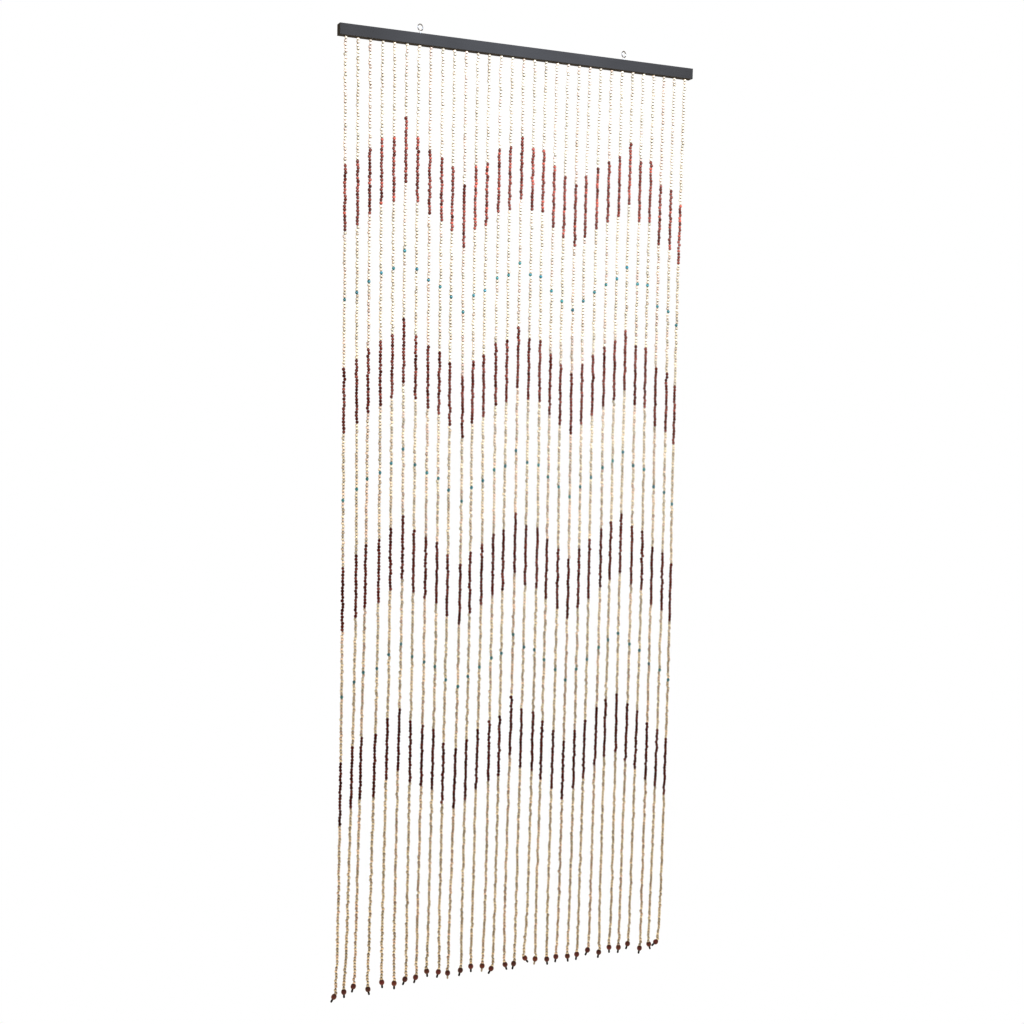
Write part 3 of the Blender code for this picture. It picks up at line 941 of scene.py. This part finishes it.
def tube_plastic(name, colour, pale, rough, clear):
    """Drawn plastic tube. Its draw lines run from colour to pale, and clear is how much light passes it."""
    made = bpy.data.materials.new(name)
    made.use_nodes = True
    tree = made.node_tree
    shader = tree.nodes["Principled BSDF"]
    place = add(tree, "ShaderNodeTexCoord")
    drawn_out = {"Vector": place.outputs["Object"], "Scale": (1, 1, DRAW_LINE_STRETCH)}
    along = add(tree, "ShaderNodeMapping", drawn_out)
    drawn = add(tree, "ShaderNodeTexNoise", {"Vector": along, "Scale": 1 / DRAW_LINE_WIDTH, "Detail": 2.0})
    tone = add(tree, "ShaderNodeValToRGB", {"Fac": drawn}, stops=[(0.35, srgb(colour)), (0.75, srgb(pale))])
    tree.links.new(tone.outputs["Color"], shader.inputs["Base Color"])
    sheen = add(tree, "ShaderNodeMapRange", {"Value": drawn, "To Min": rough, "To Max": rough + 0.2})
    tree.links.new(sheen.outputs["Result"], shader.inputs["Roughness"])
    shader.inputs["IOR"].default_value = 1.53
    shader.inputs["Specular IOR Level"].default_value = 0.2
    shader.inputs["Transmission Weight"].default_value = clear
    return made


BLACK_TUBE = tube_plastic("black_polyethylene_tube", "#070607", "#121112", rough=0.35, clear=0.0)
CLEAR_TUBE = tube_plastic("clear_polyethylene_tube", "#a9a7a2", "#d6d3cc", rough=0.20, clear=0.35)
CLEAR_ON = (11, 14, 19)
STOPPER_BORE = 0.0008
STOPPER_SIDES = 16

# Share of the tube's radius, and distance below its upper end
STOPPER_PROFILE = (
    (0.70, 0.0),
    (0.86, 0.0003),
    (0.95, 0.15 * STOPPER_LENGTH),
    (1.0, 0.5 * STOPPER_LENGTH),
    (0.94, 0.8 * STOPPER_LENGTH),
    (0.84, STOPPER_LENGTH - 0.0004),
    (0.70, STOPPER_LENGTH),
)
outline = [(STOPPER_WIDTH / 2 * share, depth) for share, depth in STOPPER_PROFILE]
outline += [(STOPPER_BORE, STOPPER_LENGTH), (STOPPER_BORE, 0.0)]
STOPPERS = {}
for number in NUMBERS:
    centre, down = end_bead(number)
    top = centre + down * END_BEAD_LENGTH / 2
    obj = turned(f"string_{number:02d}_stopper", outline, STOPPER_SIDES, top, down)
    obj.data.materials.append(CLEAR_TUBE if number in CLEAR_ON else BLACK_TUBE)
    STOPPERS[number] = obj
print("cut", len(STOPPERS), "stoppers, of which", len(CLEAR_ON), "are clear")

# %% [markdown]
# ## Nylon
# Clear nylon monofilament looks milky at this size. Rough handling leaves dull and shiny lengths, about 4
# mm long, and this is all the detail that it has.

# %% Nylon finish
SCUFF_LENGTH = 0.004
nylon = bpy.data.materials.new("clear_nylon_monofilament")
nylon.use_nodes = True
tree = nylon.node_tree
shader = tree.nodes["Principled BSDF"]
place = add(tree, "ShaderNodeTexCoord")
patches = {"Vector": place.outputs["Object"], "Scale": 1 / SCUFF_LENGTH, "Detail": 2.0}
scuffs = add(tree, "ShaderNodeTexNoise", patches)
dull = add(tree, "ShaderNodeMapRange", {"Value": scuffs, "To Min": 0.15, "To Max": 0.45})
tree.links.new(dull.outputs["Result"], shader.inputs["Roughness"])
shader.inputs["Base Color"].default_value = srgb("#e9e4d8")
shader.inputs["IOR"].default_value = 1.53
shader.inputs["Transmission Weight"].default_value = 0.25
for obj in (*LINES.values(), groove_line):
    obj.data.materials.append(nylon)
print("nylon on", len(LINES) + 1, "lines")

# %% [markdown]
# ## Carry
# Every piece rides on the one body, and the strings stand for the CAD comb.


def carry(obj, stands_for):
    """Lets a piece ride on the body and stand for a CAD node, which is hidden."""
    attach(obj, "root")
    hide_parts(stands_for)


carry(groove_line, "bead_strings")
for number in NUMBERS:
    carry(LINES[number], "bead_strings")
    for stain, obj in BEADS[number].items():
        carry(obj, "bead_strings")
    carry(END_BEADS[number], "bead_strings")
    carry(STOPPERS[number], "bead_strings")
    hang(number, 0.0)
print("declared", len(LINES), "cords")

# %% [markdown]
# ## The painted rail
# A sawn softwood bar, sprayed with one coat of charcoal paint. Under a thin coat the grain still shows as
# long shallow streaks, 2 mm wide and drawn out along the bar, and the spray leaves faint clouds a hand's
# breadth wide. The CAD node's shape is right, so it stays and takes a better finish.

# %% Rail finish
PAINT_GRAIN_WIDTH = 0.0020
PAINT_GRAIN_STRETCH = 0.03
PAINT_RELIEF = 0.00012
SPRAY_CLOUD_WIDTH = 1 / 9
paint = bpy.data.materials.new("charcoal_painted_softwood")
paint.use_nodes = True
tree = paint.node_tree
shader = tree.nodes["Principled BSDF"]
place = add(tree, "ShaderNodeTexCoord")
drawn_out = {"Vector": place.outputs["Object"], "Scale": (PAINT_GRAIN_STRETCH, 1, 1)}
along = add(tree, "ShaderNodeMapping", drawn_out)
lines = {"Vector": along, "Scale": 1 / PAINT_GRAIN_WIDTH, "Detail": 4.0, "Distortion": 0.3}
grain = add(tree, "ShaderNodeTexNoise", lines)
patches = {"Vector": place.outputs["Object"], "Scale": 1 / SPRAY_CLOUD_WIDTH, "Detail": 2.0}
clouds = add(tree, "ShaderNodeTexNoise", patches)
charcoals = [(0.35, srgb("#2a2b2c")), (0.70, srgb("#2f3031"))]
base = add(tree, "ShaderNodeValToRGB", {"Fac": clouds}, stops=charcoals)
streaks = add(tree, "ShaderNodeValToRGB", {"Fac": grain}, stops=[(0.30, grey(0.86)), (0.70, grey(1.06))])
both = {0: 1.0, 6: base, 7: streaks}
painted = add(tree, "ShaderNodeMix", both, data_type="RGBA", blend_type="MULTIPLY")
tree.links.new(painted.outputs[2], shader.inputs["Base Color"])
sheen = add(tree, "ShaderNodeMapRange", {"Value": grain, "To Min": 0.74, "To Max": 0.88})
tree.links.new(sheen.outputs["Result"], shader.inputs["Roughness"])
ridges = add(tree, "ShaderNodeBump", {"Strength": 0.5, "Distance": PAINT_RELIEF, "Height": grain})
tree.links.new(ridges.outputs["Normal"], shader.inputs["Normal"])
shader.inputs["Specular IOR Level"].default_value = 0.3
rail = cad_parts["rail"]
rail.data.materials.clear()
rail.data.materials.append(paint)
print("painted the rail, which has", len(rail.data.polygons), "faces")

# %% [markdown]
# ## Eye screws
# Each is one length of zinc-plated steel wire: a screw shank, a short neck, and a ring bent almost shut.
# The CAD wire has eight sides, which is coarse for something that shines, so the same wire is drawn again
# with sixteen sides and closer points, on the same line. EYES gives the number of the string that each
# stands over, and how far its ring is turned. The plating is a cool bright grey, with a dull cloudy bloom
# about 2.4 mm wide.

# %% Eye screws in zinc-plated steel
EYE_SHANK = 0.014
EYE_TIP = 0.004
EYE_START = math.radians(15)
EYE_END = math.radians(336)
EYES = {"left": (7, math.radians(20)), "right": (25, math.radians(24))}
EYE_TIP_SHARE = 0.3
BEND_POINTS = 8
RING_POINTS = 64
WIRE_SIDES = 16
BLOOM_WIDTH = 1 / 420


def eye_points():
    """The centre line of an eye screw about its own ring: shank, bend and ring."""
    radius = (EYE_OUTER_DIAMETER - EYE_WIRE_DIAMETER) / 2
    bend = radius * math.sin(EYE_START) / (1 - math.sin(EYE_START))
    sweep = math.pi / 2 - EYE_START
    bend_z = -radius * math.cos(EYE_START) - bend * math.sin(sweep)
    tip = RAIL_TOP - EYE_SHANK
    points = [(0, 0, tip), (0, 0, tip + EYE_TIP)]
    for k in range(BEND_POINTS):
        turn = sweep * k / BEND_POINTS
        points.append((bend * (1 - math.cos(turn)), 0, bend_z + bend * math.sin(turn)))
    for k in range(RING_POINTS):
        turn = EYE_START + (EYE_END - EYE_START) * k / (RING_POINTS - 1)
        points.append((radius * math.sin(turn), 0, -radius * math.cos(turn)))
    return points


zinc = bpy.data.materials.new("zinc_plated_steel_wire")
zinc.use_nodes = True
tree = zinc.node_tree
shader = tree.nodes["Principled BSDF"]
place = add(tree, "ShaderNodeTexCoord")
patches = {"Vector": place.outputs["Object"], "Scale": 1 / BLOOM_WIDTH, "Detail": 3.0}
bloom = add(tree, "ShaderNodeTexNoise", patches)
zincs = [(0.30, srgb("#6a6e72")), (0.70, srgb("#95999d"))]
plate = add(tree, "ShaderNodeValToRGB", {"Fac": bloom}, stops=zincs)
tree.links.new(plate.outputs["Color"], shader.inputs["Base Color"])
worn = add(tree, "ShaderNodeMapRange", {"Value": bloom, "To Min": 0.20, "To Max": 0.42})
tree.links.new(worn.outputs["Result"], shader.inputs["Roughness"])
shader.inputs["Metallic"].default_value = 1.0
for side, (number, angle) in EYES.items():
    middle = hole_x(number)
    swung = [(middle + x * math.cos(angle), x * math.sin(angle), z) for x, _, z in eye_points()]
    bent = wire(f"eye_{side}_wire", swung, EYE_WIRE_DIAMETER, sides=WIRE_SIDES)
    bent.data.splines[0].points[0].radius = EYE_TIP_SHARE
    eye = plain_mesh(bent, f"eye_{side}_wire")
    eye.data.shade_smooth()
    eye.data.materials.append(zinc)
    carry(eye, f"eye_screw_{side}")
print("bent", len(EYES), "eye screws")
